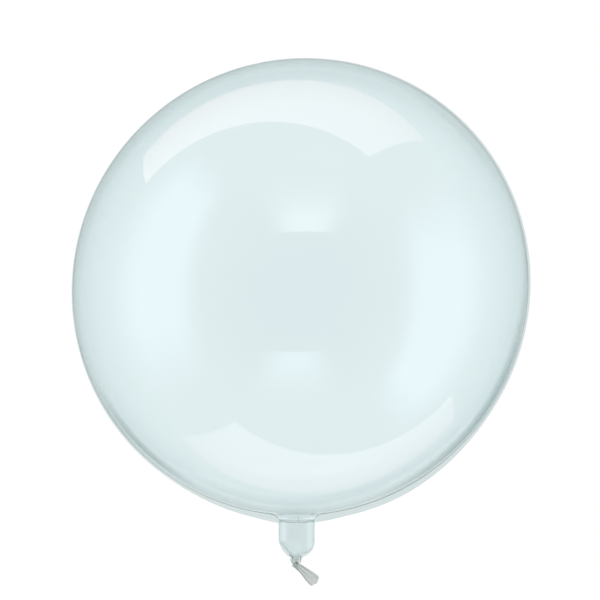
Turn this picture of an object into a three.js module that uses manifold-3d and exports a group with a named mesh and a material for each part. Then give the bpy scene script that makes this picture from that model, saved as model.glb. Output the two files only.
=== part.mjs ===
// A clear bubble balloon, filled and tied: two panels of film welded round their edge into a
// ball, with a filling neck that is gathered, knotted in itself and ends in a short pleated tail.
//
// Millimetres, +Z up. The balloon lies on its back panel. The origin is the middle of the small
// flat on which it rests, the weld runs level round the ball's middle, and the neck points
// along -Y. The envelope is sealed, so it is one solid.

import * as THREE from "three";
import { mergeVertices } from "three/addons/utils/BufferGeometryUtils.js";
import Module from "manifold-3d";

const wasm = await Module();
wasm.setup();

const radians = THREE.MathUtils.degToRad;
const { clamp, lerp, smoothstep } = THREE.MathUtils;

// Ball
const ballDiameter = 450; // an 18-inch balloon, filled
const ballRadius = ballDiameter / 2;
const restRadius = 30; // the flat that it lies on
const outOfRound = 0.0105; // share by which its plan is longer along longDirection
const longDirection = radians(45);
const ballSegments = 72;
const ballRows = 30;

// Weld round the ball, both panels flat together. It is drawn in on the side away from the neck, and
// has a web on each side of the neck, whose angles are measured from the neck.
const weldThickness = 0.8;
const weldWidth = 2;
const weldFarWidth = 0.7;
const weldFarDirection = radians(135);
const weldFarAngle = radians(45);
const weldNearAngle = radians(105);
const leftWeb = { width: 5, fullAngle: 0, endAngle: radians(38) };
const rightWeb = { width: 4.3, fullAngle: radians(20), endAngle: radians(60) };

// Neck: pinched flat where it leaves the ball, then a round tube
const neckAngle = radians(-90);
const neckOffset = -3.8; // along X from the ball's middle
const neckHalfWidth = 17.5;
const neckHalfHeight = 14.5;
const neckStart = -214; // along Y, inside the ball
const pinchHalfHeight = 3.2;
const pinchEnd = -229.6;
const tubeStart = -232.4;
const neckMargin = 0.9; // weld left along each side of the neck
const filletRadius = 2.5;
const neckSegments = 36;

// Gather, where the neck closes to the knot: a straight fold on its left, with a fin of loose
// weld outside it, and a round shoulder on its right. A bend is where an edge's tangents meet.
const gatherStart = -251.3;
const gatherEnd = -266.8;
const gatherHalfHeight = 3.4;
const gatherPleats = 9;
const gatherPleatDepth = 0.13; // share of the section's height
const finBend = new THREE.Vector2(-17.9, -263.4);
const finEnd = new THREE.Vector2(-7.2, -268.9);
const shoulderBend = new THREE.Vector2(12.9, -263.4);

// The gather's folded sides: places along Y, and the side's reach from the neck's middle line there
const leftFold = [
  [gatherStart, -neckHalfWidth],
  [gatherEnd, -2.6],
];
const rightFold = [
  [-252.9, neckHalfWidth],
  [-256.9, 16.8],
  [-260.1, 14.1],
  [-264.2, 4.4],
  [gatherEnd, 2.4],
];

// Knot, a short roll with one turn of the neck wrapped across it
const knotHalfWidth = 4.7;
const knotHalfHeight = 4.4;
const knotCentre = new THREE.Vector3(-4.6, -271, 0);
const wrapRadius = 3.5;
const wrapThickness = 2.1;
const wrapTilt = radians(32);

// Tail, a pleated fan behind the knot, cut to a blunt point
const tailStart = new THREE.Vector3(-5, -273, 0);
const tailEnd = new THREE.Vector3(13.9, -290.3, 0);
const tailStartHalfWidth = 2.9;
const tailEndHalfWidth = 6;
const tailPoint = 2.8; // the middle of the cut end stands out by this
const tailHalfThickness = 1.3;
const tailPleats = 3;
const tailPleatHeight = 1.6;
const tailSteps = 8;
const tailSideSteps = 20;

const centreHeight = Math.sqrt(ballRadius ** 2 - restRadius ** 2);

const filmMaterial = new THREE.MeshStandardMaterial({
  color: 0xcfe6ea,
  roughness: 0.05,
  metalness: 0,
  transparent: true,
  opacity: 0.4,
});

// Radius of the ball's outline at a direction round it.
function bodyRadius(direction) {
  return ballRadius * (1 + outOfRound * Math.cos(2 * (direction - longDirection)));
}

// The angle from one direction to another, between minus and plus half a turn.
function turnFrom(start, direction) {
  return Math.atan2(Math.sin(direction - start), Math.cos(direction - start));
}

// Width of the weld at a direction round the ball: wider in the web beside the neck.
function weldWidthAt(direction) {
  const turn = turnFrom(neckAngle, direction);
  const side = turn < 0 ? leftWeb : rightWeb;
  const web = side.width * (1 - smoothstep(Math.abs(turn), side.fullAngle, side.endAngle));
  const fromFar = Math.abs(turnFrom(weldFarDirection, direction));
  return lerp(weldFarWidth, weldWidth, smoothstep(fromFar, weldFarAngle, weldNearAngle)) + web;
}

// A closed solid from a geometry: its corners are merged, and the triangles that close up are left out.
function solid(geometry) {
  const bare = new THREE.BufferGeometry();
  bare.setAttribute("position", geometry.getAttribute("position"));
  bare.setIndex(geometry.getIndex());
  const merged = mergeVertices(bare, 1e-3);
  const corners = merged.getIndex().array;
  const kept = [];
  for (let i = 0; i < corners.length; i += 3) {
    const [a, b, c] = corners.slice(i, i + 3);
    if (a !== b && b !== c && c !== a) {
      kept.push(a, b, c);
    }
  }
  const mesh = new wasm.Mesh({
    numProp: 3,
    vertProperties: new Float32Array(merged.getAttribute("position").array),
    triVerts: new Uint32Array(kept),
  });
  return new wasm.Manifold(mesh);
}

// A closed tube. middleAt(t) is its centre line, and wallAt(angle, t) its wall, with t from 0 to 1.
function tube(aroundSteps, alongSteps, middleAt, wallAt) {
  const geometry = new THREE.CylinderGeometry(1, 1, 1, aroundSteps, alongSteps);
  const position = geometry.getAttribute("position");
  const corner = new THREE.Vector3();
  for (let i = 0; i < position.count; i += 1) {
    corner.fromBufferAttribute(position, i);
    const t = clamp(0.5 - corner.y, 0, 1);
    const outward = Math.hypot(corner.x, corner.z);
    const wall = wallAt(Math.atan2(corner.z, corner.x), t);
    const placed = middleAt(t).lerp(wall, outward);
    position.setXYZ(i, placed.x, placed.y, placed.z);
  }
  return geometry;
}

// The ball, with its resting flat, turned about Z and then drawn slightly out of round.
function makeBall() {
  const flatAngle = Math.asin(restRadius / ballRadius);
  const profile = [new THREE.Vector2(0, -centreHeight)];
  for (let row = 0; row <= ballRows; row += 1) {
    const angle = lerp(flatAngle, Math.PI, row / ballRows);
    const outward = row === ballRows ? 0 : ballRadius * Math.sin(angle);
    profile.push(new THREE.Vector2(outward, -ballRadius * Math.cos(angle)));
  }
  const geometry = new THREE.LatheGeometry(profile, ballSegments);
  geometry.rotateX(Math.PI / 2);
  const position = geometry.getAttribute("position");
  for (let i = 0; i < position.count; i += 1) {
    const x = position.getX(i);
    const y = position.getY(i);
    const share = bodyRadius(Math.atan2(y, x)) / ballRadius;
    position.setX(i, x * share);
    position.setY(i, y * share);
  }
  return solid(geometry);
}

// The weld's outline in plan: round the ball and its web, then down both sides of the neck.
function weldOutline() {
  const left = neckOffset - neckHalfWidth - neckMargin;
  const right = neckOffset + neckHalfWidth + neckMargin;
  const webAt = (direction) => {
    const radius = bodyRadius(direction) + weldWidthAt(direction);
    return new THREE.Vector2(radius * Math.cos(direction), radius * Math.sin(direction));
  };
  const rightTurn = Math.asin((right + filletRadius) / ballRadius);
  const leftTurn = Math.asin((left - filletRadius) / ballRadius) + 2 * Math.PI;
  const rightJoin = webAt(neckAngle + rightTurn);
  const leftJoin = webAt(neckAngle + leftTurn);
  const shape = new THREE.Shape();
  shape.moveTo(neckOffset + knotHalfWidth, gatherEnd);
  shape.quadraticCurveTo(shoulderBend.x, shoulderBend.y, right, gatherStart);
  shape.lineTo(right, rightJoin.y - filletRadius);
  shape.quadraticCurveTo(right, rightJoin.y, rightJoin.x, rightJoin.y);
  for (let step = 1; step < ballSegments; step += 1) {
    const point = webAt(neckAngle + lerp(rightTurn, leftTurn, step / ballSegments));
    shape.lineTo(point.x, point.y);
  }
  shape.lineTo(leftJoin.x, leftJoin.y);
  shape.quadraticCurveTo(left, leftJoin.y, left, leftJoin.y - filletRadius);
  shape.lineTo(left, gatherStart);
  shape.quadraticCurveTo(finBend.x, finBend.y, finEnd.x, finEnd.y);
  shape.closePath();
  return shape;
}

function makeWeld() {
  const geometry = new THREE.ExtrudeGeometry(weldOutline(), {
    depth: weldThickness,
    bevelEnabled: false,
    curveSegments: 6,
  });
  geometry.translate(0, 0, -weldThickness / 2);
  return solid(geometry);
}

// How far the neck has closed towards the knot, from 0 to 1.
function gatherShare(y) {
  return clamp((gatherStart - y) / (gatherStart - gatherEnd), 0, 1);
}

// The reach of a folded side at y, straight between its places.
function reachAt(fold, y) {
  const next = fold.findIndex(([place]) => place <= y);
  if (next < 1) {
    return fold.at(next)[1];
  }
  const [[nearPlace, nearReach], [farPlace, farReach]] = fold.slice(next - 1, next + 1);
  return lerp(nearReach, farReach, (y - nearPlace) / (farPlace - nearPlace));
}

// Half height of the neck: pinched at its root, round along the tube, low at the knot.
function neckHeightAt(y) {
  const opened = smoothstep(-y, -pinchEnd, -tubeStart) ** 0.7;
  const drop = 1 - (1 - gatherShare(y)) ** 0.6;
  return lerp(pinchHalfHeight, neckHalfHeight, opened) - (neckHalfHeight - gatherHalfHeight) * drop;
}

// Places along the neck, close together where its section changes.
function neckStations() {
  const stations = [neckStart];
  for (const [start, end, steps] of [
    [pinchEnd, tubeStart, 6],
    [tubeStart, gatherStart, 4],
    [gatherStart, gatherEnd, 14],
  ]) {
    for (let step = 0; step < steps; step += 1) {
      stations.push(lerp(start, end, step / steps));
    }
  }
  return stations.concat(gatherEnd, gatherEnd - 2);
}

// The neck, from inside the ball to inside the knot.
function makeNeck() {
  const stations = neckStations();
  const last = stations.length - 1;
  const along = (t) => stations[Math.round(t * last)];
  const middleAt = (t) => {
    const middle = (reachAt(leftFold, along(t)) + reachAt(rightFold, along(t))) / 2;
    return new THREE.Vector3(neckOffset + middle, along(t), 0);
  };
  const wallAt = (angle, t) => {
    const y = along(t);
    const pleat = 1 + gatherPleatDepth * gatherShare(y) * Math.cos(gatherPleats * angle);
    const across = (reachAt(rightFold, y) - reachAt(leftFold, y)) / 2;
    const up = neckHeightAt(y) * pleat;
    return middleAt(t).add(new THREE.Vector3(across * Math.cos(angle), 0, up * Math.sin(angle)));
  };
  return solid(tube(neckSegments, last, middleAt, wallAt));
}

// The knot's roll, and the turn of film that wraps across it.
function makeKnot() {
  const roll = new THREE.SphereGeometry(1, 16, 10);
  roll.scale(knotHalfWidth, knotHalfWidth + 0.6, knotHalfHeight);
  roll.translate(knotCentre.x, knotCentre.y, knotCentre.z);
  const wrap = new THREE.TorusGeometry(wrapRadius, wrapThickness, 10, 20);
  wrap.rotateX(Math.PI / 2);
  wrap.rotateZ(wrapTilt);
  wrap.translate(knotCentre.x, knotCentre.y, knotCentre.z);
  return solid(roll).add(solid(wrap));
}

// The tail's section: a pleated band, from -1 to 1 across.
function tailSection() {
  const pleatAt = (across) => tailPleatHeight * Math.sin(tailPleats * Math.PI * across);
  const upper = [];
  const lower = [];
  for (let step = 0; step <= tailSideSteps; step += 1) {
    const across = lerp(-1, 1, step / tailSideSteps);
    upper.push(new THREE.Vector2(across, pleatAt(across) + tailHalfThickness));
    lower.push(new THREE.Vector2(across, pleatAt(across) - tailHalfThickness));
  }
  return new THREE.Shape(lower.concat(upper.reverse()));
}

// The tail: a fan that widens to its cut end, with pleats that deepen along it.
function makeTail() {
  const run = tailEnd.clone().sub(tailStart).normalize();
  const side = new THREE.Vector3(-run.y, run.x, 0);
  const geometry = new THREE.ExtrudeGeometry(tailSection(), {
    depth: 1,
    steps: tailSteps,
    bevelEnabled: false,
  });
  const position = geometry.getAttribute("position");
  for (let i = 0; i < position.count; i += 1) {
    const across = position.getX(i);
    const t = position.getZ(i);
    const halfWidth = lerp(tailStartHalfWidth, tailEndHalfWidth, smoothstep(t, 0, 1));
    const corner = tailStart.clone().lerp(tailEnd, t);
    corner.addScaledVector(side, halfWidth * across);
    corner.addScaledVector(run, tailPoint * t * (1 - across ** 2));
    corner.setZ(position.getY(i) * (halfWidth / tailEndHalfWidth));
    position.setXYZ(i, corner.x, corner.y, corner.z);
  }
  return solid(geometry);
}

function meshFrom(manifold, name, material) {
  const { vertProperties, triVerts } = manifold.getMesh();
  const geometry = new THREE.BufferGeometry();
  geometry.setAttribute("position", new THREE.BufferAttribute(new Float32Array(vertProperties), 3));
  geometry.setIndex(new THREE.BufferAttribute(new Uint32Array(triVerts), 1));
  geometry.computeVertexNormals();
  const mesh = new THREE.Mesh(geometry, material);
  mesh.name = name;
  return mesh;
}

const envelope = makeBall().add(makeWeld()).add(makeNeck()).add(makeKnot()).add(makeTail());
const balloon = meshFrom(envelope, "balloon", filmMaterial);
balloon.position.z = centreHeight;

const part = new THREE.Group();
part.add(balloon);

export default part;
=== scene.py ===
"""Looks of a clear bubble balloon that lies on its back panel, seen from above.

Metres, in the CAD frame: +Z up, the origin under the ball's middle, the neck along -Y.
The envelope is a real double wall of clear film, so what shows through it is refracted
and reflected by the film itself. Places in the dimensions below are from the ball's
middle, and tables of several numbers say so where they are in millimetres.
"""

import math

import bpy
import numpy as np
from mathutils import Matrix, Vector


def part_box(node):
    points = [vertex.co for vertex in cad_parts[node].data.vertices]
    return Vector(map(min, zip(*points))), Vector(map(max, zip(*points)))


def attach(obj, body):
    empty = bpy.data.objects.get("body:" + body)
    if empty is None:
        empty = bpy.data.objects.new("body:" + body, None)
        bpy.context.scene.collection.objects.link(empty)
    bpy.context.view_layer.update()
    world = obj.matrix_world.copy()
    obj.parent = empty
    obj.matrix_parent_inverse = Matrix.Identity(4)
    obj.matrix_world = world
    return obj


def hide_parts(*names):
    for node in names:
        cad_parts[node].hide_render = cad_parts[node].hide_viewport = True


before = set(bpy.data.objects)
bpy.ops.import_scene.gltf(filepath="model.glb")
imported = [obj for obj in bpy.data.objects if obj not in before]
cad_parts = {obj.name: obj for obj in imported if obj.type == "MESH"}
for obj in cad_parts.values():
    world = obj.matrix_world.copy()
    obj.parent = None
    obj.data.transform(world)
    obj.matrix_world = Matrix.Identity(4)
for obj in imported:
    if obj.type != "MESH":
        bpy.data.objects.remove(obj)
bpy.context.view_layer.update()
node_low, node_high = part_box("balloon")

MM = 0.001
TURN = 2 * math.pi

# Ball, from the node's height and the flat that it rests on
REST_RADIUS = 30 * MM
REST_SOFTNESS = 0.35 * MM
REST_REACH = 8 * MM
BALL_TOP = node_high.z - node_low.z
BALL_RADIUS = (BALL_TOP**2 + REST_RADIUS**2) / (2 * BALL_TOP)
CENTRE = Vector((0, 0, node_low.z + BALL_TOP - BALL_RADIUS))
OUT_OF_ROUND = 0.0105
LONG_DIRECTION = math.radians(45)
SAG = 5.6 * MM
FILM_THICKNESS = 0.15 * MM
POINTS_AROUND = 160
BALL_RINGS = 150

# Neck: pinched flat where it leaves the ball's mouth, then a round tube, then gathered to the knot
NECK_OFFSET = -3.8 * MM
NECK_HALF_WIDTH = 17.3 * MM
NECK_HALF_HEIGHT = 14.5 * MM
NECK_SHIFT_ANGLE = math.radians(60)
MOUTH_ANGLE = math.radians(7.5)
MOUTH_END = -229.8 * MM
MOUTH_RINGS = 20
PINCH_HALF_HEIGHT = 3.2 * MM
PINCH_END = -230.0 * MM
TUBE_START = -232.3 * MM
GATHER_START = -251.3 * MM
GATHER_END = -266.8 * MM
GATHER_HALF_HEIGHT = 3.4 * MM
GATHER_REACH = 6 * MM

# Where the neck's rings are: from, to, and how many
NECK_RINGS = ((PINCH_END, TUBE_START, 14), (TUBE_START, GATHER_START, 12), (GATHER_START, GATHER_END, 44))

# Pleats of the gather: how many round it, phase, and depth as a share of its height
GATHER_PLEATS = ((9, 0.6, 0.26), (17, 0, 0.14))

# Folds of the pinched root: place from the neck's middle line, half width and height, in mm, and how
# far they lean for their height
ROOT_FOLDS = ((-12.5, 1.4, 1.0), (-6.5, 2.4, -0.5), (-0.4, 1.2, 1.7), (4.7, 2.2, -0.6), (9.9, 1.8, 0.8))
FOLD_LEAN = 1.4

# The gather's two folded sides, in mm: places along Y, and the reach from the neck's middle line there
LEFT_FOLD = ((-251.3, -17.3), (-266.8, -2.6))
RIGHT_FOLD = ((-252.9, 17.3), (-256.9, 16.6), (-260.1, 13.9), (-264.2, 4.3), (-266.8, 2.4))

# The strip pressed across the neck at its root. Its waves: height in mm, how many, and phase
CREASE_NEAR = -230.1 * MM
CREASE_FAR = -232.5 * MM
CREASE_THICKNESS = 0.3 * MM
CREASE_WAVES = ((0.15, 9, 1), (0.1, 31, 0))

# Weld: a flat double edge of film, in the plane of the ball's middle. It is drawn in on the side away
# from the neck, by angles from WELD_FAR_DIRECTION
WELD_THICKNESS = 0.22 * MM
WELD_RIM_THICKNESS = 0.5 * MM
WELD_WIDTH = 2.0 * MM
WELD_FAR_WIDTH = 0.7 * MM
WELD_FAR_DIRECTION = math.radians(135)
WELD_FAR_ANGLE = math.radians(45)
WELD_NEAR_ANGLE = math.radians(105)
SEAM_GAP = 0.03 * MM

# Across the weld: share of its width, and share of the way from its own thickness to its rim's
WELD_PROFILE = ((0, 0), (0.3, 0), (0.6, 0), (0.8, 0), (0.88, 0.5), (0.94, 1), (0.98, 0.8), (1, 0.35))

# Puckers along the weld, in mm: height, then the scale and the phase of the two waves that make it
PUCKERS = ((0.45, (2.1, 0), (7.7, 1)), (0.35, (3.4, 2), (23, 0)))
PUCKER_FULL_WIDTH = 6 * MM

# The weld's webs on each side of the neck: width, the angles from the neck where it starts and ends
# to narrow, and how much wider the gusset right beside the neck is
NECK_ANGLE = math.radians(-90)
LEFT_WEB = (5.0 * MM, 0.0, math.radians(38), 2.0 * MM)
RIGHT_WEB = (4.3 * MM, math.radians(20), math.radians(60), 1.5 * MM)
GUSSET_FULL_ANGLE = math.radians(4)
GUSSET_END_ANGLE = math.radians(12)

# The weld along the neck, and down the gather, as a fin on the left and a round shoulder on the right
NECK_MARGIN = 0.4 * MM
FILLET_RADIUS = 2.5 * MM
WEB_CORNER_NEAR = -238 * MM
WEB_CORNER_FAR = -228.5 * MM
FIN_BEND = np.array([-17.9, -263.4]) * MM
FIN_END = np.array([-7.2, -268.9]) * MM
SHOULDER_BEND = np.array([12.9, -263.4]) * MM
KNOT_HALF_WIDTH = 4.7 * MM

# Knot's throat, in mm: places, half widths, half heights, pleats, and their depth and lean
THROAT_START = np.array([-4.4, -265.2, 0])
THROAT_END = np.array([-6.4, -272.6, 0])
THROAT_HALF_WIDTHS = (3.6, 2.9)
THROAT_HALF_HEIGHTS = (2.6, 1.8)
THROAT_PLEATS = (5, 0.75, 1.3)
GATHERED_THICKNESS = 0.12 * MM

# The turn of film that wraps the knot, in mm: its section across and up, its half width along the
# neck, how much wider it is on its right, and how far that side leans towards the ball
KNOT_CENTRE = Vector((-4.6, -271, 0)) * MM
WRAP_FACETS = (
    (4.3, -0.5),
    (4.2, 2.4),
    (3.4, 3.4),
    (0.8, 3.7),
    (-4.6, 0.6),
    (-4.3, -1.3),
    (0, -3.2),
    (3.6, -2.4),
)
WRAP_HALF_WIDTH = 4.0
WRAP_SPREAD = 0.32
WRAP_LEAN = 0.12

# Tightly rolled edges of film at the knot, in mm: start, end, and the radius at each
ROLLS = (
    ("fin_roll", (-12.0, -263.6), (-6.6, -267.4), 0.45, 1.0),
    ("knot_roll", (-0.1, -265.6), (0.2, -272.5), 0.8, 0.45),
    ("tail_roll", (-9.0, -271.6), (-1.6, -279.6), 0.5, 0.4),
)
ROLL_HEIGHT = 1.6
ROLL_BEND = 0.25
ROLL_LUMPS = 0.12

# Tail: it leaves the knot at TAIL_SHIFT to one side, and its cut end stands out by TAIL_POINT
TAIL_START = Vector((-5.8, -272.2, 0)) * MM
TAIL_END = Vector((13.9, -290.3, 0)) * MM
TAIL_HALF_WIDTHS = (2.9 * MM, 6.0 * MM)
TAIL_HALF_HEIGHTS = (1.7 * MM, 1.2 * MM)
TAIL_SHIFT = 2.6 * MM
TAIL_SHIFT_END = 0.35
TAIL_POINT = 2.8 * MM
TAIL_PLEATS = 7
TAIL_PLEAT_HEIGHT = 2.0 * MM

# Films: colour and roughness
FILMS = {
    "clear_film": ((0.918, 0.976, 0.99), 0.02),
    # The neck's film is tinted darker than the ball's: painted shade for the darker tube of the neck
    "neck_shade_film": ((0.84, 0.9, 0.91), 0.04),
    "weld_film": ((0.7, 0.79, 0.79), 0.12),
    # Darker film on the crease strip: painted shade for the dark band at the neck's pinched root
    "crease_shade_film": ((0.66, 0.74, 0.74), 0.12),
    "knot_film": ((0.87, 0.895, 0.89), 0.1),
    "rolled_film": ((0.55, 0.6, 0.59), 0.15),
    "tail_film": ((0.79, 0.81, 0.805), 0.12),
}
FILM_IOR = 1.5

# The faint pattern in every film: how far its roughness varies, and its slow ripple
POLISH_RANGE = (0.6, 1.4)
POLISH_SCALE = 14
RIPPLE_SCALE = 9
RIPPLE_STRENGTH = 0.3
RIPPLE_HEIGHT = 0.4 * MM

# Floor, and how far off the studio lights stand
FLOOR_HALF_SIZE = 12.0
FLOOR_GREY = 0.08
FLOOR_LEVEL = 0.945
STUDIO_SIZE = 20.0

# How bright the studio is beside its lights, by the angle from straight up in degrees
STUDIO_LEVELS = (
    (0, (0.24, 0.24, 0.24)),
    (35, (0.21, 0.27, 0.23)),
    (60, (0.33, 0.38, 0.34)),
    (89, (0.38, 0.45, 0.42)),
    (106, (0.48, 0.57, 0.53)),
    (137, (0.56, 0.65, 0.64)),
    (150, (0.62, 0.71, 0.71)),
    (168, (0.64, 0.72, 0.72)),
    (174, (0.52, 0.6, 0.6)),
    (180, (0.42, 0.48, 0.48)),
)

# Panels below the ball's level: the direction round it and the angle from straight up, in degrees,
# half width and half height as shares of STUDIO_SIZE, and colour
LOW_PANELS = (
    ("flag_right", -35, 156, 0.3, 0.22, (0.3, 0.38, 0.38)),
    ("flag_left", 224, 153, 0.18, 0.16, (0.28, 0.34, 0.33)),
    ("flag_front", -90, 139, 0.5, 0.16, (0.4, 0.48, 0.47)),
    ("glow_front", -90, 168, 0.3, 0.16, (0.86, 0.95, 0.95)),
)

# Camera, straight above and far off, so that the ball is seen almost without perspective
CAMERA_DISTANCE = 100 * BALL_RADIUS
CAMERA_LENS = 1368
AIM_OFFSET = Vector((-0.5, -13, 0)) * MM


def smoothstep(low, high, value):
    """0 below low, 1 above high, and smooth between them."""
    share = np.clip((np.asarray(value, float) - low) / (high - low), 0, 1)
    return share * share * (3 - 2 * share)


def blend(a, b, share):
    """a at share 0, and b at share 1."""
    return a + (b - a) * share


def around_turn(count):
    """Even angles round a full turn."""
    return np.arange(count) / count * TURN


# ---------------------------------------------------------------- mesh helpers


def new_mesh(name, points, faces, smooth=True):
    """A mesh object with this name, from an array of points and a list of faces."""
    mesh = bpy.data.meshes.new(name)
    mesh.from_pydata([tuple(p) for p in points], [], [tuple(f) for f in faces])
    mesh.update()
    mesh.polygons.foreach_set("use_smooth", [smooth] * len(mesh.polygons))
    made = bpy.data.objects.new(name, mesh)
    bpy.context.scene.collection.objects.link(made)
    return made


def grid_faces(rings, around, first=0, flip=False):
    """Quads between closed rings of around points each, numbered from first."""
    faces = []
    for ring in range(rings - 1):
        for step in range(around):
            following = (step + 1) % around
            a = first + ring * around + step
            b = first + ring * around + following
            c = first + (ring + 1) * around + following
            d = first + (ring + 1) * around + step
            faces.append((a, d, c, b) if flip else (a, b, c, d))
    return faces


def new_tube(name, rings, ends="closed"):
    """A tube through an array of closed rings, with its ends closed or joined to each other."""
    count, around = rings.shape[:2]
    points = rings.reshape(-1, 3)
    faces = grid_faces(count, around)
    if ends == "joined":
        last = (count - 1) * around
        for step in range(around):
            following = (step + 1) % around
            faces.append((last + step, last + following, following, step))
        return new_mesh(name, points, faces)
    faces.append(tuple(range(around))[::-1])
    faces.append(tuple(range((count - 1) * around, count * around)))
    return new_mesh(name, points, faces)


def strip_sections(plan, middle, half):
    """Sections of a flat strip, from its points in plan, and its middle and half thickness there."""
    upper = np.concatenate([plan, (middle + half)[..., None]], axis=2)
    lower = np.concatenate([plan, (middle - half)[..., None]], axis=2)
    return np.concatenate([upper, lower[:, ::-1]], axis=1)


def film_tube(name, rings, thickness):
    """A tube of thin film through an array of rings, with an outer and an inner wall, joined at both
    ends. The rings are from the ball's middle."""
    before = np.concatenate([rings[:1], rings[:-1]])
    after = np.concatenate([rings[1:], rings[-1:]])
    across = np.roll(rings, -1, axis=1) - np.roll(rings, 1, axis=1)
    normals = np.cross(across, after - before)
    normals /= np.maximum(np.linalg.norm(normals, axis=2, keepdims=True), 1e-12)
    inner = rings - normals * thickness
    count, around = rings.shape[:2]
    points = np.concatenate([rings.reshape(-1, 3), inner.reshape(-1, 3)])
    size = count * around
    last = size - around
    faces = grid_faces(count, around) + grid_faces(count, around, first=size, flip=True)
    for step in range(around):
        following = (step + 1) % around
        faces.append((following, step, size + step, size + following))
        faces.append((last + step, last + following, size + last + following, size + last + step))
    return new_mesh(name, points + np.array(CENTRE), faces)


def grid_normals(points, pole):
    """Outward unit normals of a grid of closed rings whose first ring closes on a pole point."""
    before = np.concatenate([np.broadcast_to(pole, (1,) + points.shape[1:]), points[:-1]])
    after = np.concatenate([points[1:], points[-1:] * 2 - points[-2:-1]])
    along = after - before
    across = np.roll(points, -1, axis=1) - np.roll(points, 1, axis=1)
    normals = np.cross(across, along)
    return normals / np.linalg.norm(normals, axis=2, keepdims=True)


# ---------------------------------------------------------------- envelope


def body_share(direction):
    """How much longer than its radius the ball is at a direction round it."""
    return 1 + OUT_OF_ROUND * np.cos(2 * (direction - LONG_DIRECTION))


def sagged(ring):
    """Both panels stand out a little towards the neck and are a little flatter away from it, within
    the outline of the weld."""
    outward = ring / np.linalg.norm(ring, axis=1, keepdims=True)
    bulge = -SAG * np.arcsin(outward[:, 1:2]) * np.abs(outward[:, 2:3])
    return ring + outward * bulge


def ball_ring(beta, angles):
    """A ring of the ball, at the angle beta from the neck's axis, true to the ball's outline in plan.
    The rings near the neck are shifted sideways, to be in line with it."""
    shift = NECK_OFFSET / BALL_RADIUS * (1 - smoothstep(MOUTH_ANGLE, NECK_SHIFT_ANGLE, beta))
    ring = np.stack(
        [
            math.sin(beta) * np.cos(angles) + shift,
            np.full_like(angles, -math.cos(beta)),
            math.sin(beta) * np.sin(angles),
        ],
        axis=1,
    )
    ring *= BALL_RADIUS / np.linalg.norm(ring, axis=1, keepdims=True)
    share = body_share(np.arctan2(ring[:, 1], ring[:, 0]))
    ring[:, 0] *= share
    ring[:, 1] *= share
    return sagged(ring)


def root_folds(across, up, share):
    """Lays the pinched root in a few folds that lean over, as its points across and up."""
    wave = np.zeros_like(across)
    for place, half_width, height in ROOT_FOLDS:
        wave += height * MM * np.exp(-(((across / MM - place) / half_width) ** 2))
    wave *= share * (1 - np.abs(across / NECK_HALF_WIDTH).clip(0, 1) ** 6)
    side = np.tanh(up / (0.5 * MM))
    return across + FOLD_LEAN * wave * side, up + wave * side


def mouth_ring(share, angles):
    """A ring on the ball that closes from a circle at share 0 to the pinched neck's mouth at 1."""
    round_reach = BALL_RADIUS * math.sin(MOUTH_ANGLE)
    across = blend(round_reach, NECK_HALF_WIDTH, share**0.7) * np.cos(angles)
    up = blend(round_reach, PINCH_HALF_HEIGHT, share) * np.sin(angles)
    across, up = root_folds(across, up, share**1.5)
    along = -np.sqrt(BALL_RADIUS**2 - across**2 - up**2)
    ring = np.stack([across + NECK_OFFSET, along, up], axis=1)
    ring *= BALL_RADIUS / np.linalg.norm(ring, axis=1, keepdims=True)
    ring[:, :2] *= body_share(np.arctan2(ring[:, 1], ring[:, 0]))[:, None]
    ring[:, 1] = blend(ring[:, 1], MOUTH_END, share**2.6)
    return ring


def fold_reach(fold, y):
    """How far a folded side of the gather stands from the neck's middle line at y."""
    along, reach = zip(*fold)
    return float(np.interp(y / MM, along[::-1], reach[::-1])) * MM


def neck_height(y):
    """Half height of the neck: pinched at its root, round along the tube, low at the knot."""
    opened = float(smoothstep(PINCH_END, TUBE_START, y))
    height = blend(PINCH_HALF_HEIGHT, NECK_HALF_HEIGHT, opened**0.7)
    share = min(max((GATHER_START - y) / (GATHER_START - GATHER_END), 0), 1)
    return height - (NECK_HALF_HEIGHT - GATHER_HALF_HEIGHT) * (1 - (1 - share) ** 0.6)


def neck_ring(y, angles):
    """A ring of the neck at y, with the pleats of its pinched root and of its gather."""
    left = fold_reach(LEFT_FOLD, y)
    right = fold_reach(RIGHT_FOLD, y)
    height = neck_height(y)
    across = (left + right) / 2 + (right - left) / 2 * np.cos(angles)
    root = 1 - float(smoothstep(PINCH_END, TUBE_START, y))
    gathered = float(smoothstep(GATHER_START - GATHER_REACH, GATHER_END, y))
    pleats = sum(depth * np.cos(count * angles + phase) for count, phase, depth in GATHER_PLEATS)
    across, up = root_folds(across, height * np.sin(angles) * (1 + gathered * pleats), root)
    return np.stack([NECK_OFFSET + across, np.full_like(angles, y), up], axis=1)


def rest_on_floor(points):
    """Presses the ball's underside flat where it rests, with a soft edge."""
    height = points[..., 2] + CENTRE.z - node_low.z
    raised = REST_SOFTNESS * np.logaddexp(0, height / REST_SOFTNESS)
    points[..., 2] = np.where(height < REST_REACH, raised, height) - CENTRE.z + node_low.z
    return points


def ball_rings():
    """The ball's outer surface: rings from its far end to the neck's mouth, and its far pole."""
    angles = around_turn(POINTS_AROUND)
    rings = [ball_ring(beta, angles) for beta in np.linspace(math.pi, MOUTH_ANGLE, BALL_RINGS)[1:]]
    rings += [mouth_ring(share, angles) for share in np.linspace(0, 1, MOUTH_RINGS)[1:]]
    pole = np.array([0, BALL_RADIUS * float(body_share(math.pi / 2)), 0])
    return rest_on_floor(np.array(rings)), pole


def neck_rings():
    """The neck's outer surface, from just off the ball's mouth to the knot."""
    angles = around_turn(POINTS_AROUND)
    rings = [mouth_ring(1, angles) - np.array([0, 0.02 * MM, 0])]
    for start, end, steps in NECK_RINGS:
        rings += [neck_ring(y, angles) for y in np.linspace(start, end, steps)[1:]]
    return np.array(rings)


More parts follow.
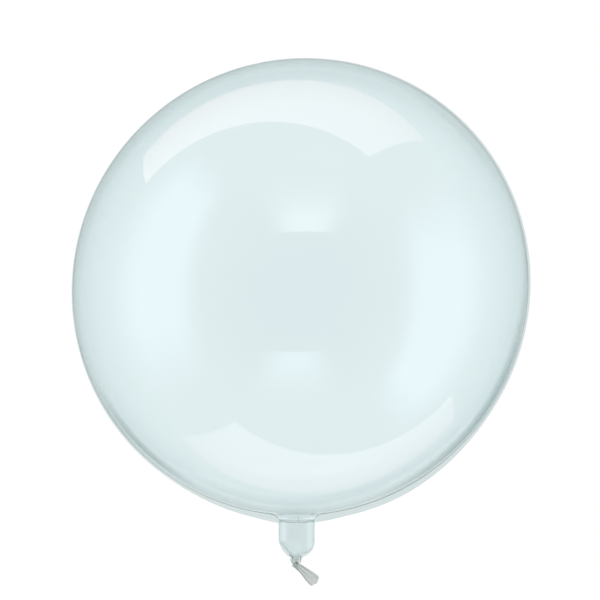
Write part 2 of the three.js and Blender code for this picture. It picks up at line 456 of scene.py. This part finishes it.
def make_ball(outer, pole):
    """The ball's film: an outer and an inner wall, joined by the rim of the neck's mouth."""
    around = outer.shape[1]
    inner = outer - grid_normals(outer, pole) * FILM_THICKNESS
    inner_pole = pole - np.array([0, FILM_THICKNESS, 0])
    rings = len(outer)
    count = rings * around
    points = np.concatenate([outer.reshape(-1, 3), inner.reshape(-1, 3), [pole], [inner_pole]])
    faces = grid_faces(rings, around)
    faces += grid_faces(rings, around, first=count, flip=True)
    last = count - around
    for step in range(around):
        following = (step + 1) % around
        faces.append((2 * count, following, step))
        faces.append((2 * count + 1, count + step, count + following))
        faces.append((last + step, last + following, count + last + following, count + last + step))
    return new_mesh("ball", points + np.array(CENTRE), faces)


# ---------------------------------------------------------------- weld


def bend(start, corner, end, steps):
    """Points of a quadratic curve from start to end, whose tangents meet at corner."""
    t = np.linspace(0, 1, steps)[:, None]
    return (1 - t) ** 2 * start + 2 * t * (1 - t) * corner + t**2 * end


def turn_from(start, directions):
    """The angle from one direction to others, between minus and plus half a turn."""
    return (directions - start + math.pi) % TURN - math.pi


def weld_width(directions):
    """Width of the weld at directions round the ball: wide in the webs beside the neck, and drawn in
    against the ball on the side away from it."""
    turn = turn_from(NECK_ANGLE, directions)
    beside = 1 - smoothstep(GUSSET_FULL_ANGLE, GUSSET_END_ANGLE, np.abs(turn))
    webs = []
    for width, full_angle, end_angle, gusset in (LEFT_WEB, RIGHT_WEB):
        webs.append(width * (1 - smoothstep(full_angle, end_angle, np.abs(turn))) + gusset * beside)
    web = np.where(turn < 0, *webs)
    from_far = np.abs(turn_from(WELD_FAR_DIRECTION, directions))
    return blend(WELD_FAR_WIDTH, WELD_WIDTH, smoothstep(WELD_FAR_ANGLE, WELD_NEAR_ANGLE, from_far)) + web


def web_points(directions):
    """The weld's outer edge in plan, at directions round the ball."""
    radius = BALL_RADIUS * body_share(directions) + weld_width(directions)
    return np.stack([radius * np.cos(directions), radius * np.sin(directions)], axis=1)


def weld_outline():
    """The weld's outer edge in plan, from the knot up the neck's right side, round the ball and
    down the neck's left side to the knot."""
    left = NECK_OFFSET - NECK_HALF_WIDTH - NECK_MARGIN
    right = NECK_OFFSET + NECK_HALF_WIDTH + NECK_MARGIN
    right_turn = NECK_ANGLE + math.asin((right + FILLET_RADIUS) / BALL_RADIUS)
    left_turn = NECK_ANGLE + math.asin((left - FILLET_RADIUS) / BALL_RADIUS) + TURN
    web = web_points(np.linspace(right_turn, left_turn, 900))
    right_join, left_join = web[0], web[-1]
    knot_right = np.array([NECK_OFFSET + KNOT_HALF_WIDTH, GATHER_END])
    right_low = np.array([right, GATHER_START])
    left_low = np.array([left, GATHER_START])
    right_high = np.array([right, right_join[1] - FILLET_RADIUS])
    left_high = np.array([left, left_join[1] - FILLET_RADIUS])
    return np.concatenate(
        [
            bend(knot_right, SHOULDER_BEND, right_low, 30),
            np.linspace(right_low, right_high, 30)[1:],
            bend(right_high, np.array([right, right_join[1]]), right_join, 12)[1:],
            web[1:],
            bend(left_join, np.array([left, left_join[1]]), left_high, 12)[1:],
            np.linspace(left_high, left_low, 30)[1:],
            bend(left_low, FIN_BEND, FIN_END, 30)[1:],
        ]
    )


def seam_path(rings, pole):
    """Where the weld meets the envelope: up its right side, over its far pole, and down its left."""
    half = rings.shape[1] // 2
    path = np.concatenate([rings[::-1, 0, :2], [pole[:2]], rings[:, half, :2]])
    steps = np.linalg.norm(np.diff(path, axis=0), axis=1)
    run = np.concatenate([[0], np.cumsum(steps)])
    even = np.linspace(0, run[-1], 6000)
    return np.stack([np.interp(even, run, path[:, k]) for k in (0, 1)], axis=1)


def seam_points(outer, seam):
    """The point of the seam that each point of the weld's outer edge springs from. They go round in
    the same order, and spread evenly over the corners between the ball and the neck."""
    nearest = np.array([np.argmin(((seam - point) ** 2).sum(axis=1)) for point in outer])
    nearest = np.maximum.accumulate(nearest)
    order = np.arange(len(outer))
    in_corner = (outer[:, 1] < WEB_CORNER_FAR) & (outer[:, 1] > WEB_CORNER_NEAR)
    spread = np.interp(order, order[~in_corner], nearest[~in_corner])
    return seam[spread.round().astype(int)]


def pucker_heights(outer):
    """How far the weld's outer edge waves up and down along its run."""
    run = np.concatenate([[0], np.cumsum(np.linalg.norm(np.diff(outer, axis=0), axis=1))])
    heights = 0
    for height, (scale, phase), (slow_scale, slow_phase) in PUCKERS:
        wave = np.sin(run / (scale * MM) + phase)
        slow_wave = np.sin(run / (slow_scale * MM) + slow_phase)
        heights += height * wave * slow_wave
    return heights * MM


def make_weld(rings, pole):
    """The two panels' joined edge: thin, slightly puckered, with a thicker cut rim."""
    outer = weld_outline()
    inner = seam_points(outer, seam_path(rings, pole))
    across = outer - inner
    width = np.linalg.norm(across, axis=1, keepdims=True)
    inner = inner + across / np.maximum(width, 0.1 * MM) * SEAM_GAP
    shares, rim = (np.array(values) for values in zip(*WELD_PROFILE))
    half = (WELD_THICKNESS + (WELD_RIM_THICKNESS - WELD_THICKNESS) * rim) / 2
    lift = pucker_heights(outer)[:, None] * np.minimum(width / PUCKER_FULL_WIDTH, 1)
    plan = inner[:, None] + (outer - inner)[:, None] * shares[None, :, None]
    middle = lift * shares[None, :] ** 1.5
    return new_tube("weld", strip_sections(plan, middle, half) + np.array(CENTRE))


# ---------------------------------------------------------------- knot and tail


def pleated_ring(angles, half_width, half_height, pleats, depth, lean):
    """A flat ring with sharp pleats that lean over each other, deepest on its upper side, as its points
    across and up."""
    across = half_width * np.cos(angles)
    sharp = np.arcsin(0.94 * np.sin(pleats * angles + 0.5)) / 1.2
    upper = np.clip(np.sin(angles) * 1.6, 0, 1)
    lower = np.clip(-np.sin(angles) * 1.6, 0, 1)
    wave = depth * sharp * (upper + 0.35 * lower)
    return across + lean * wave, half_height * np.sin(angles) + wave


def make_throat():
    """The neck's gathered film, which runs from the gather down into the knot, to its left side."""
    angles = around_turn(200)
    rings = []
    for t in np.linspace(0, 1, 32):
        wide = blend(*THROAT_HALF_WIDTHS, float(smoothstep(0.1, 1, t)))
        across, up = pleated_ring(angles, wide, blend(*THROAT_HALF_HEIGHTS, t), *THROAT_PLEATS)
        turned = 0.3 * np.cos(3 * angles) * (0.5 - t) - 0.3 * t * across
        middle = blend(THROAT_START, THROAT_END, t)
        rings.append((middle + np.stack([across, turned, up], axis=1)) * MM)
    return film_tube("knot", np.array(rings), GATHERED_THICKNESS)


def make_crease():
    """The strip pressed flat across the neck's root, in darker film: painted shade for its crease."""
    across = np.linspace(-1, 1, 90)[:, None]
    wave = sum(height * np.sin(count * across + phase) for height, count, phase in CREASE_WAVES) * MM
    along = blend(CREASE_NEAR, CREASE_FAR, np.linspace(0, 1, 9))[None] + wave
    plan = np.stack([np.broadcast_to(NECK_OFFSET + NECK_HALF_WIDTH * across, along.shape), along], axis=2)
    half = np.full(along.shape, CREASE_THICKNESS / 2)
    return new_tube("neck_crease", strip_sections(plan, 0, half) + np.array(CENTRE))


def make_roll(name, start, end, start_radius, end_radius):
    """A tightly rolled edge of film, from start to end in plan, a little bent and with closed ends."""
    angles = around_turn(24)
    start, end = np.array(start), np.array(end)
    run = (end - start) / np.linalg.norm(end - start)
    side = np.array([-run[1], run[0]])
    rings = []
    for t in np.linspace(0, 1, 30):
        middle = blend(start, end, t) + side * ROLL_BEND * math.sin(5 * t)
        tapered = min(1, 0.3 + 8 * t * (1 - t))
        radius = blend(start_radius, end_radius, t) * tapered
        radius *= 1 + ROLL_LUMPS * math.sin(17 * t)
        plan = middle + side * (radius * np.cos(angles))[:, None]
        rings.append(np.concatenate([plan, (ROLL_HEIGHT + radius * np.sin(angles))[:, None]], axis=1))
    return new_tube(name, np.array(rings) * MM + np.array(CENTRE))


def make_wrap():
    """The turn of film that wraps round the throat: a wide band with flat facets, one film thick."""
    facets = np.array(WRAP_FACETS + WRAP_FACETS[:1])
    corners = np.arange(len(facets))
    shares = np.linspace(-1, 1, 41)
    rings = []
    for place in np.linspace(0, len(WRAP_FACETS), 96, endpoint=False):
        x = np.interp(place, corners, facets[:, 0])
        z = np.interp(place, corners, facets[:, 1])
        out = np.array([x, 0, z]) / math.hypot(x, z)
        half_width = WRAP_HALF_WIDTH * (1 + WRAP_SPREAD * x / WRAP_FACETS[0][0])
        ridge = 0.25 * np.sin(2.5 * math.pi * shares + 0.4 * x) + 0.1 * np.sin(9 * math.pi * shares)
        middle = np.array([x, 0, z]) + np.array([WRAP_LEAN * x, 1, 0]) * half_width * shares[:, None]
        upper = middle * MM + out * (ridge * MM + GATHERED_THICKNESS)[:, None]
        lower = middle * MM + out * (ridge * MM - GATHERED_THICKNESS)[:, None]
        rings.append(np.array(KNOT_CENTRE) + np.concatenate([upper, lower[::-1]]))
    return new_tube("knot_wrap", np.array(rings) + np.array(CENTRE), ends="joined")


def make_tail():
    """The neck beyond the knot: a flat tube of leaning pleats that fans out to its cut end."""
    angles = around_turn(300)
    run = np.array((TAIL_END - TAIL_START).normalized())
    side = np.array([-run[1], run[0], 0])
    upright = np.array([0, 0, 1.0])
    rings = []
    for t in np.linspace(0, 1, 56):
        half_width = blend(*TAIL_HALF_WIDTHS, float(smoothstep(0.1, 1, t)))
        pleat_height = TAIL_PLEAT_HEIGHT * blend(0.45, 0.65, t)
        lean = blend(1.1, 0.9, t)
        half_height = blend(*TAIL_HALF_HEIGHTS, t)
        across, up = pleated_ring(angles, half_width, half_height, TAIL_PLEATS, pleat_height, lean)
        shares = across / half_width
        across = across - max(TAIL_SHIFT_END - t, 0) * TAIL_SHIFT
        ragged = (0.3 * np.sin(7 * shares + 1.0) + 0.25 * np.sin(17 * shares + 2)) * MM
        reach = t**3 * (TAIL_POINT * (1 - shares**2) + ragged)
        middle = blend(np.array(TAIL_START), np.array(TAIL_END), t)
        rings.append(middle + side * across[:, None] + run * reach[:, None] + upright * up[:, None])
    return film_tube("tail", np.array(rings), GATHERED_THICKNESS)


# ---------------------------------------------------------------- materials


def new_material(name):
    """A material with this name, its nodes and links, and its shader."""
    material = bpy.data.materials.new(name)
    material.use_nodes = True
    nodes = material.node_tree.nodes
    return material, nodes, material.node_tree.links, nodes["Principled BSDF"]


def object_noise(nodes, links, scale, detail):
    """Noise that stays with the object."""
    place = nodes.new("ShaderNodeTexCoord")
    noise = nodes.new("ShaderNodeTexNoise")
    noise.inputs["Scale"].default_value = scale
    noise.inputs["Detail"].default_value = detail
    links.new(place.outputs["Object"], noise.inputs["Vector"])
    return noise.outputs["Fac"]


def film_material(name):
    """Clear film, by plain values. Only its faint waviness is a pattern: a slow ripple in its surface,
    and places a little less polished than the rest."""
    colour, roughness = FILMS[name]
    material, nodes, links, shader = new_material(name)
    shader.inputs["Base Color"].default_value = (*colour, 1)
    shader.inputs["IOR"].default_value = FILM_IOR
    shader.inputs["Transmission Weight"].default_value = 1
    spread = nodes.new("ShaderNodeMapRange")
    spread.inputs["To Min"].default_value = roughness * POLISH_RANGE[0]
    spread.inputs["To Max"].default_value = roughness * POLISH_RANGE[1]
    links.new(object_noise(nodes, links, POLISH_SCALE, 2), spread.inputs["Value"])
    links.new(spread.outputs["Result"], shader.inputs["Roughness"])
    bump = nodes.new("ShaderNodeBump")
    bump.inputs["Strength"].default_value = RIPPLE_STRENGTH
    bump.inputs["Distance"].default_value = RIPPLE_HEIGHT
    links.new(object_noise(nodes, links, RIPPLE_SCALE, 1), bump.inputs["Height"])
    links.new(bump.outputs["Normal"], shader.inputs["Normal"])
    return material


# ---------------------------------------------------------------- stage


def studio_only(nodes, links):
    """1 for light that the film has reflected, and 0 for what is seen straight or through it."""
    path = nodes.new("ShaderNodeLightPath")
    reflected = nodes.new("ShaderNodeMath")
    reflected.operation = "GREATER_THAN"
    reflected.inputs[1].default_value = 0.5
    links.new(path.outputs["Glossy Depth"], reflected.inputs[0])
    return reflected.outputs[0]


def make_floor():
    """A plain white floor. The film doesn't reflect it, as it wouldn't where the balloon hangs free."""
    size = FLOOR_HALF_SIZE
    corners = [(-size, -size, 0), (size, -size, 0), (size, size, 0), (-size, size, 0)]
    floor = new_mesh("floor", corners, [(0, 1, 2, 3)], smooth=False)
    material, nodes, links, shader = new_material("floor_white")
    shader.inputs["Base Color"].default_value = (FLOOR_GREY, FLOOR_GREY, FLOOR_GREY, 1)
    shader.inputs["Roughness"].default_value = 1
    shader.inputs["Specular IOR Level"].default_value = 0
    shader.inputs["Emission Color"].default_value = (1, 1, 1, 1)
    shader.inputs["Emission Strength"].default_value = FLOOR_LEVEL
    clear = nodes.new("ShaderNodeBsdfTransparent")
    mix = nodes.new("ShaderNodeMixShader")
    links.new(studio_only(nodes, links), mix.inputs["Fac"])
    links.new(shader.outputs[0], mix.inputs[1])
    links.new(clear.outputs[0], mix.inputs[2])
    links.new(mix.outputs[0], nodes["Material Output"].inputs["Surface"])
    floor.data.materials.append(material)


def make_world():
    """White where it is seen, and a dim studio, by STUDIO_LEVELS, where the film reflects it."""
    world = bpy.data.worlds.new("studio")
    bpy.context.scene.world = world
    world.use_nodes = True
    world.cycles.sampling_method = "NONE"
    nodes, links = world.node_tree.nodes, world.node_tree.links
    white = nodes["Background"]
    white.inputs["Color"].default_value = (1, 1, 1, 1)
    studio = nodes.new("ShaderNodeBackground")
    place = nodes.new("ShaderNodeTexCoord")
    split = nodes.new("ShaderNodeSeparateXYZ")
    ramp = nodes.new("ShaderNodeValToRGB")
    height = nodes.new("ShaderNodeMapRange")
    height.inputs["From Min"].default_value = -1
    height.inputs["From Max"].default_value = 1
    elements = ramp.color_ramp.elements
    elements.remove(elements[1])
    for polar, colour in STUDIO_LEVELS:
        element = elements.new((1 + math.cos(math.radians(polar))) / 2)
        element.color = (*colour, 1)
    elements.remove(elements[0])
    links.new(place.outputs["Generated"], split.inputs[0])
    links.new(split.outputs["Z"], height.inputs["Value"])
    links.new(height.outputs["Result"], ramp.inputs["Fac"])
    links.new(ramp.outputs["Color"], studio.inputs["Color"])
    mix = nodes.new("ShaderNodeMixShader")
    links.new(studio_only(nodes, links), mix.inputs["Fac"])
    links.new(white.outputs[0], mix.inputs[1])
    links.new(studio.outputs[0], mix.inputs[2])
    links.new(mix.outputs[0], nodes["World Output"].inputs["Surface"])


def edge_fade(nodes, links, value, softness):
    """1 inside a panel and 0 past its edges at -1 and 1, each fading over its own softness."""
    fades = []
    for edge, inner in ((-1, softness[0] - 1), (1, 1 - softness[1])):
        fade = nodes.new("ShaderNodeMapRange")
        fade.interpolation_type = "SMOOTHSTEP"
        fade.inputs["From Min"].default_value = edge
        fade.inputs["From Max"].default_value = inner
        links.new(value, fade.inputs["Value"])
        fades.append(fade.outputs["Result"])
    return multiplied(nodes, links, *fades)


def multiplied(nodes, links, first, second):
    """The product of two values."""
    product = nodes.new("ShaderNodeMath")
    product.operation = "MULTIPLY"
    links.new(first, product.inputs[0])
    links.new(second, product.inputs[1])
    return product.outputs[0]


def make_panel(name, middle, across, up, colour, soft_across, soft_up, lower_level=1.0):
    """A soft light that only the film's reflections show. across and up are its half sides, and
    lower_level is how bright its lower side is beside its upper side."""
    middle, across, up = (Vector(v) * STUDIO_SIZE for v in (middle, across, up))
    signs = ((-1, -1), (1, -1), (1, 1), (-1, 1))
    corners = [CENTRE + middle + across * x + up * y for x, y in signs]
    panel = new_mesh(name, corners, [(0, 1, 2, 3)], smooth=False)
    layer = panel.data.uv_layers.new(name="sides")
    for loop, uv in zip(layer.data, signs):
        loop.uv = uv
    material = bpy.data.materials.new(name)
    material.use_nodes = True
    material.cycles.emission_sampling = "NONE"
    nodes, links = material.node_tree.nodes, material.node_tree.links
    nodes.remove(nodes["Principled BSDF"])
    place = nodes.new("ShaderNodeUVMap")
    place.uv_map = "sides"
    split = nodes.new("ShaderNodeSeparateXYZ")
    links.new(place.outputs[0], split.inputs[0])
    shape = multiplied(
        nodes,
        links,
        edge_fade(nodes, links, split.outputs["X"], soft_across),
        edge_fade(nodes, links, split.outputs["Y"], soft_up),
    )
    light = nodes.new("ShaderNodeEmission")
    light.inputs["Color"].default_value = (*colour, 1)
    level = nodes.new("ShaderNodeMapRange")
    level.inputs["From Min"].default_value = -1
    level.inputs["To Min"].default_value = lower_level
    links.new(split.outputs["Y"], level.inputs["Value"])
    links.new(level.outputs["Result"], light.inputs["Strength"])
    clear = nodes.new("ShaderNodeBsdfTransparent")
    mix = nodes.new("ShaderNodeMixShader")
    links.new(multiplied(nodes, links, shape, studio_only(nodes, links)), mix.inputs["Fac"])
    links.new(clear.outputs[0], mix.inputs[1])
    links.new(light.outputs[0], mix.inputs[2])
    links.new(mix.outputs[0], nodes["Material Output"].inputs["Surface"])
    panel.data.materials.append(material)


def make_studio():
    """The lights that the film shows: a long softbox beyond the ball's far side, a window of light on
    each side, a small one above, and dim and bright places low down. Places and sizes are shares of
    the studio's size."""
    make_panel(
        "softbox",
        middle=(-0.404, 1, -0.607),
        across=(1.013, -0.09, 0.463),
        up=(-0.153, 0, 0.338),
        colour=(1.58, 1.34, 1.28),
        soft_across=(0.02, 0.02),
        soft_up=(0.04, 0.04),
        lower_level=0.64,
    )
    for name, side in (("window_left", -1), ("window_right", 1)):
        make_panel(
            name,
            middle=(side, -0.3 * side, 0.14),
            across=(0, 1.3, 0),
            up=(0, 0, 0.68),
            colour=(0.84, 0.98, 1.0),
            soft_across=(0.7, 0.7),
            soft_up=(0.9, 0.6),
        )
    make_panel(
        "window_above",
        middle=(0.06, 1, 1.07),
        across=(0.62, 0, 0),
        up=(0, 0, 0.65),
        colour=(1.45, 1.58, 1.5),
        soft_across=(0.8, 0.8),
        soft_up=(1.6, 0.08),
    )
    for name, azimuth, polar, half_width, half_height, colour in LOW_PANELS:
        make_low_panel(name, math.radians(azimuth), math.radians(polar), half_width, half_height, colour)


def make_low_panel(name, azimuth, polar, half_width, half_height, colour):
    """A soft panel below the ball's level, which faces the ball and shows only near its rim."""
    outward = Vector((math.cos(azimuth), math.sin(azimuth), 0))
    sideways = Vector((-outward.y, outward.x, 0))
    middle = outward * math.sin(polar) + Vector((0, 0, math.cos(polar)))
    rise = outward * math.cos(polar) - Vector((0, 0, math.sin(polar)))
    make_panel(
        name,
        middle=middle,
        across=sideways * half_width,
        up=rise * half_height,
        colour=colour,
        soft_across=(0.9, 0.9),
        soft_up=(0.9, 0.9),
    )


def make_camera():
    """A camera straight above the ball."""
    data = bpy.data.cameras.new("camera")
    data.lens = CAMERA_LENS
    data.clip_end = 4 * STUDIO_SIZE
    camera = bpy.data.objects.new("camera", data)
    bpy.context.scene.collection.objects.link(camera)
    camera.location = CENTRE + AIM_OFFSET + Vector((0, 0, CAMERA_DISTANCE))
    bpy.context.scene.camera = camera


# ---------------------------------------------------------------- the scene

rings, pole = ball_rings()
neck = neck_rings()
seam_rings = np.concatenate([rings, neck[1:]])
films = {name: film_material(name) for name in FILMS}
pieces = (
    (make_ball(rings, pole), films["clear_film"]),
    (film_tube("neck", neck, FILM_THICKNESS), films["neck_shade_film"]),
    (make_weld(seam_rings, pole), films["weld_film"]),
    (make_crease(), films["crease_shade_film"]),
    (make_throat(), films["knot_film"]),
    (make_wrap(), films["knot_film"]),
    (make_tail(), films["tail_film"]),
    *((make_roll(*roll), films["rolled_film"]) for roll in ROLLS),
)
for piece, material in pieces:
    piece.data.materials.append(material)
    # The neck and the weld would otherwise show a second time, in the ball
    piece.visible_glossy = piece.name == "ball"
    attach(piece, "root")
    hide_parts("balloon")

make_floor()
make_world()
make_studio()
make_camera()
bpy.context.scene.view_settings.view_transform = "Standard"
